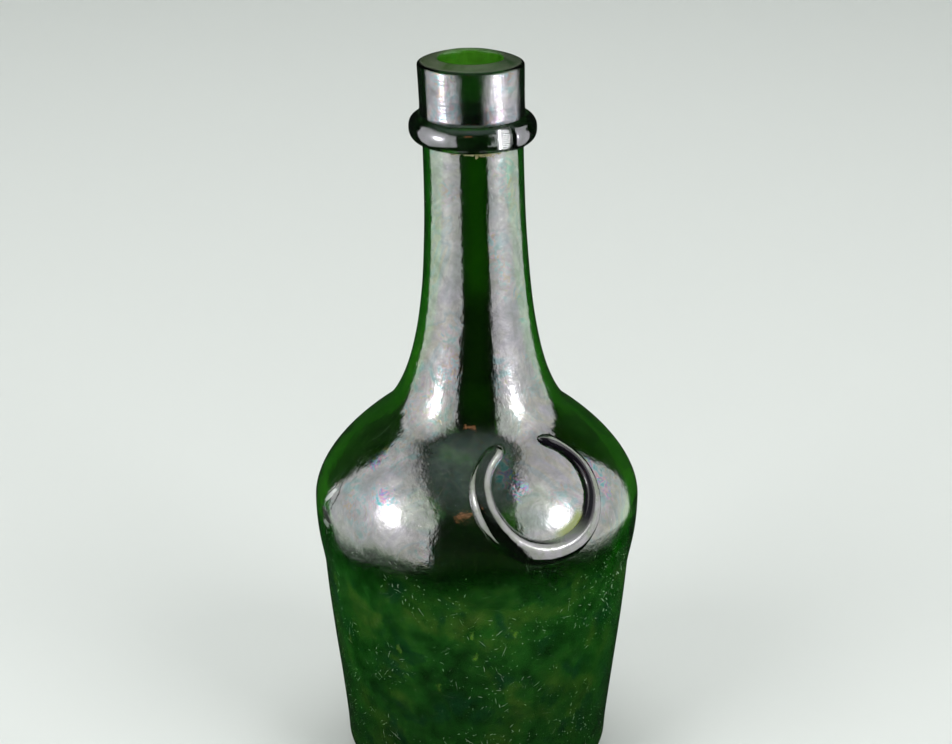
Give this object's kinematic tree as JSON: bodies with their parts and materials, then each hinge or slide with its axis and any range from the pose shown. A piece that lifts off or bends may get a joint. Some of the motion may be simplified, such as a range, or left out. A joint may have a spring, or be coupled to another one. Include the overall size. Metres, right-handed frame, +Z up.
{
  "type": "hand-blown glass bottle",
  "caption": "Squat hand-blown bottle in dark olive glass with a wide shoulder, long neck, string ring under the lip and an open horseshoe trail on the shoulder.",
  "frame": {"origin": "centre of the bearing ring, on the surface that the bottle stands on", "axes": "+Z up along the bottle's axis to the mouth; -Y is the front, with the horseshoe on the front right of the shoulder"},
  "size_m": [0.1036, 0.1058, 0.235],
  "materials": {
    "body_glass": "dark olive-green blown glass, glossy with an iridescent bloom on the neck and shoulder, scratched and matt below the shoulder",
    "lip_glass": "glossy dark olive-green glass, tooled smooth",
    "ring_glass": "glossy dark olive-green glass with crumbs of old wax under its front",
    "seal_glass": "glossy fire-polished olive-green glass",
    "scar_glass": "rough broken glass"
  },
  "bodies": {
    "root": {"blown_body": "body_glass", "applied_lip": "lip_glass", "string_ring": "ring_glass", "horseshoe_seal": "seal_glass", "pontil_scar": "scar_glass"}
  },
  "joints": []
}
